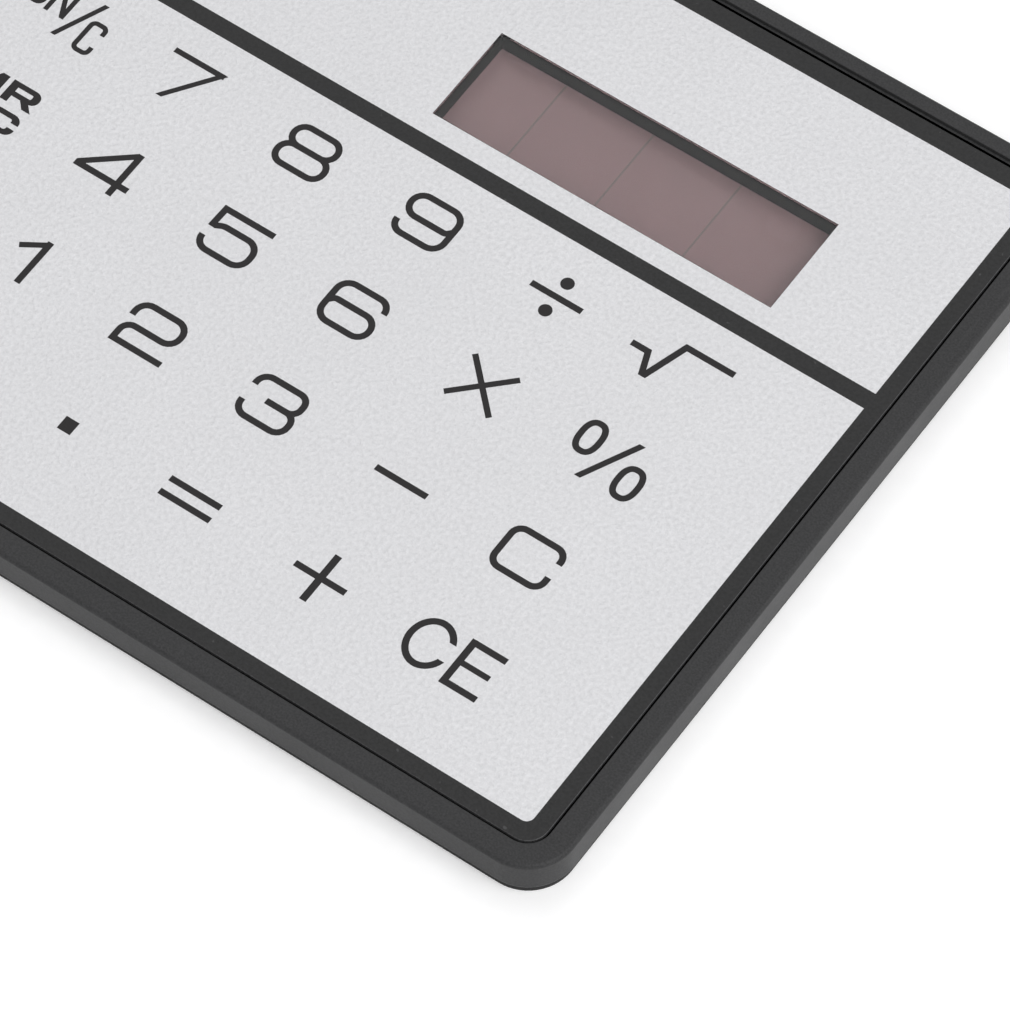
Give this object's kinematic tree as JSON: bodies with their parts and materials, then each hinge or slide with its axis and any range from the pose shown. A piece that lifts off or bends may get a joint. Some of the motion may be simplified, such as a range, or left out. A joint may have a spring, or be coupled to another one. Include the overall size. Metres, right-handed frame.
{
  "type": "pocket calculator",
  "caption": "Slim card-size solar calculator lying on its back, with a flat silver film keyboard, a small display window and a recessed solar cell in a dark rim.",
  "frame": {"origin": "middle of the underside, on the surface that it lies on", "axes": "+X to the right along the keyboard, +Y up the face towards the display, +Z out of the face"},
  "size_m": [0.0848, 0.0544, 0.0029],
  "materials": {
    "case_plastic": "fine satin moulded dark grey",
    "cover_plastic": "fine spark-eroded dark grey",
    "silver_film": "fine-grained matt silver print with black border and legends",
    "clear_pane": "clear glossy film",
    "key_rubber": "moulded silicone",
    "polyester_sheet": "thin polyester sheet",
    "circuit_board": "green solder mask",
    "black_epoxy": "black epoxy",
    "ceramic": "bare ceramic",
    "solar_cell": "amorphous silicon on glass, brown",
    "foam": "closed-cell foam",
    "red_insulation": "wire insulation",
    "black_insulation": "wire insulation",
    "display_glass": "liquid crystal cell glass, grey-green",
    "polarizer": "polarizing film",
    "reflector": "satin reflector foil",
    "zebra_rubber": "layered conductive rubber"
  },
  "bodies": {
    "case": {"front_frame": "case_plastic", "back_cover": "cover_plastic", "face_film": "silver_film", "solar_window": "clear_pane", "lcd_window": "clear_pane", "spacer_sheet": "polyester_sheet", "contact_sheet": "polyester_sheet", "insulating_sheet": "polyester_sheet", "circuit_board": "circuit_board", "chip_epoxy_drop": "black_epoxy", "smoothing_capacitor": "ceramic", "clamp_diode": "black_epoxy", "clock_resistor": "black_epoxy", "solar_cell": "solar_cell", "solar_cell_pad": "foam", "solar_lead_positive": "red_insulation", "solar_lead_negative": "black_insulation", "lcd_front_glass": "display_glass", "lcd_rear_glass": "display_glass", "lcd_front_polarizer": "polarizer", "lcd_reflector": "reflector", "lcd_foam_pad": "foam", "zebra_strip": "zebra_rubber"},
    "key_tax_minus": {"key_tax_minus": "key_rubber"},
    "key_gt": {"key_gt": "key_rubber"},
    "key_on_c": {"key_on_c": "key_rubber"},
    "key_7": {"key_7": "key_rubber"},
    "key_8": {"key_8": "key_rubber"},
    "key_9": {"key_9": "key_rubber"},
    "key_divide": {"key_divide": "key_rubber"},
    "key_root": {"key_root": "key_rubber"},
    "key_tax_plus": {"key_tax_plus": "key_rubber"},
    "key_backspace": {"key_backspace": "key_rubber"},
    "key_mr_mc": {"key_mr_mc": "key_rubber"},
    "key_4": {"key_4": "key_rubber"},
    "key_5": {"key_5": "key_rubber"},
    "key_6": {"key_6": "key_rubber"},
    "key_multiply": {"key_multiply": "key_rubber"},
    "key_percent": {"key_percent": "key_rubber"},
    "key_rate": {"key_rate": "key_rubber"},
    "key_sign": {"key_sign": "key_rubber"},
    "key_m_minus": {"key_m_minus": "key_rubber"},
    "key_1": {"key_1": "key_rubber"},
    "key_2": {"key_2": "key_rubber"},
    "key_3": {"key_3": "key_rubber"},
    "key_minus": {"key_minus": "key_rubber"},
    "key_c": {"key_c": "key_rubber"},
    "key_mu": {"key_mu": "key_rubber"},
    "key_double_zero": {"key_double_zero": "key_rubber"},
    "key_m_plus": {"key_m_plus": "key_rubber"},
    "key_0": {"key_0": "key_rubber"},
    "key_point": {"key_point": "key_rubber"},
    "key_equals": {"key_equals": "key_rubber"},
    "key_plus": {"key_plus": "key_rubber"},
    "key_ce": {"key_ce": "key_rubber"}
  },
  "joints": [
    {"name": "press_tax_minus", "type": "slide", "parent": "case", "child": "key_tax_minus", "axis": [0, 0, -1], "range_m": [0, 0.00025], "stiffness_N_per_m": 1500},
    {"name": "press_gt", "type": "slide", "parent": "case", "child": "key_gt", "axis": [0, 0, -1], "range_m": [0, 0.00025], "stiffness_N_per_m": 1500},
    {"name": "press_on_c", "type": "slide", "parent": "case", "child": "key_on_c", "axis": [0, 0, -1], "range_m": [0, 0.00025], "stiffness_N_per_m": 1500},
    {"name": "press_7", "type": "slide", "parent": "case", "child": "key_7", "axis": [0, 0, -1], "range_m": [0, 0.00025], "stiffness_N_per_m": 1500},
    {"name": "press_8", "type": "slide", "parent": "case", "child": "key_8", "axis": [0, 0, -1], "range_m": [0, 0.00025], "stiffness_N_per_m": 1500},
    {"name": "press_9", "type": "slide", "parent": "case", "child": "key_9", "axis": [0, 0, -1], "range_m": [0, 0.00025], "stiffness_N_per_m": 1500},
    {"name": "press_divide", "type": "slide", "parent": "case", "child": "key_divide", "axis": [0, 0, -1], "range_m": [0, 0.00025], "stiffness_N_per_m": 1500},
    {"name": "press_root", "type": "slide", "parent": "case", "child": "key_root", "axis": [0, 0, -1], "range_m": [0, 0.00025], "stiffness_N_per_m": 1500},
    {"name": "press_tax_plus", "type": "slide", "parent": "case", "child": "key_tax_plus", "axis": [0, 0, -1], "range_m": [0, 0.00025], "stiffness_N_per_m": 1500},
    {"name": "press_backspace", "type": "slide", "parent": "case", "child": "key_backspace", "axis": [0, 0, -1], "range_m": [0, 0.00025], "stiffness_N_per_m": 1500},
    {"name": "press_mr_mc", "type": "slide", "parent": "case", "child": "key_mr_mc", "axis": [0, 0, -1], "range_m": [0, 0.00025], "stiffness_N_per_m": 1500},
    {"name": "press_4", "type": "slide", "parent": "case", "child": "key_4", "axis": [0, 0, -1], "range_m": [0, 0.00025], "stiffness_N_per_m": 1500},
    {"name": "press_5", "type": "slide", "parent": "case", "child": "key_5", "axis": [0, 0, -1], "range_m": [0, 0.00025], "stiffness_N_per_m": 1500},
    {"name": "press_6", "type": "slide", "parent": "case", "child": "key_6", "axis": [0, 0, -1], "range_m": [0, 0.00025], "stiffness_N_per_m": 1500},
    {"name": "press_multiply", "type": "slide", "parent": "case", "child": "key_multiply", "axis": [0, 0, -1], "range_m": [0, 0.00025], "stiffness_N_per_m": 1500},
    {"name": "press_percent", "type": "slide", "parent": "case", "child": "key_percent", "axis": [0, 0, -1], "range_m": [0, 0.00025], "stiffness_N_per_m": 1500},
    {"name": "press_rate", "type": "slide", "parent": "case", "child": "key_rate", "axis": [0, 0, -1], "range_m": [0, 0.00025], "stiffness_N_per_m": 1500},
    {"name": "press_sign", "type": "slide", "parent": "case", "child": "key_sign", "axis": [0, 0, -1], "range_m": [0, 0.00025], "stiffness_N_per_m": 1500},
    {"name": "press_m_minus", "type": "slide", "parent": "case", "child": "key_m_minus", "axis": [0, 0, -1], "range_m": [0, 0.00025], "stiffness_N_per_m": 1500},
    {"name": "press_1", "type": "slide", "parent": "case", "child": "key_1", "axis": [0, 0, -1], "range_m": [0, 0.00025], "stiffness_N_per_m": 1500},
    {"name": "press_2", "type": "slide", "parent": "case", "child": "key_2", "axis": [0, 0, -1], "range_m": [0, 0.00025], "stiffness_N_per_m": 1500},
    {"name": "press_3", "type": "slide", "parent": "case", "child": "key_3", "axis": [0, 0, -1], "range_m": [0, 0.00025], "stiffness_N_per_m": 1500},
    {"name": "press_minus", "type": "slide", "parent": "case", "child": "key_minus", "axis": [0, 0, -1], "range_m": [0, 0.00025], "stiffness_N_per_m": 1500},
    {"name": "press_c", "type": "slide", "parent": "case", "child": "key_c", "axis": [0, 0, -1], "range_m": [0, 0.00025], "stiffness_N_per_m": 1500},
    {"name": "press_mu", "type": "slide", "parent": "case", "child": "key_mu", "axis": [0, 0, -1], "range_m": [0, 0.00025], "stiffness_N_per_m": 1500},
    {"name": "press_double_zero", "type": "slide", "parent": "case", "child": "key_double_zero", "axis": [0, 0, -1], "range_m": [0, 0.00025], "stiffness_N_per_m": 1500},
    {"name": "press_m_plus", "type": "slide", "parent": "case", "child": "key_m_plus", "axis": [0, 0, -1], "range_m": [0, 0.00025], "stiffness_N_per_m": 1500},
    {"name": "press_0", "type": "slide", "parent": "case", "child": "key_0", "axis": [0, 0, -1], "range_m": [0, 0.00025], "stiffness_N_per_m": 1500},
    {"name": "press_point", "type": "slide", "parent": "case", "child": "key_point", "axis": [0, 0, -1], "range_m": [0, 0.00025], "stiffness_N_per_m": 1500},
    {"name": "press_equals", "type": "slide", "parent": "case", "child": "key_equals", "axis": [0, 0, -1], "range_m": [0, 0.00025], "stiffness_N_per_m": 1500},
    {"name": "press_plus", "type": "slide", "parent": "case", "child": "key_plus", "axis": [0, 0, -1], "range_m": [0, 0.00025], "stiffness_N_per_m": 1500},
    {"name": "press_ce", "type": "slide", "parent": "case", "child": "key_ce", "axis": [0, 0, -1], "range_m": [0, 0.00025], "stiffness_N_per_m": 1500}
  ]
}
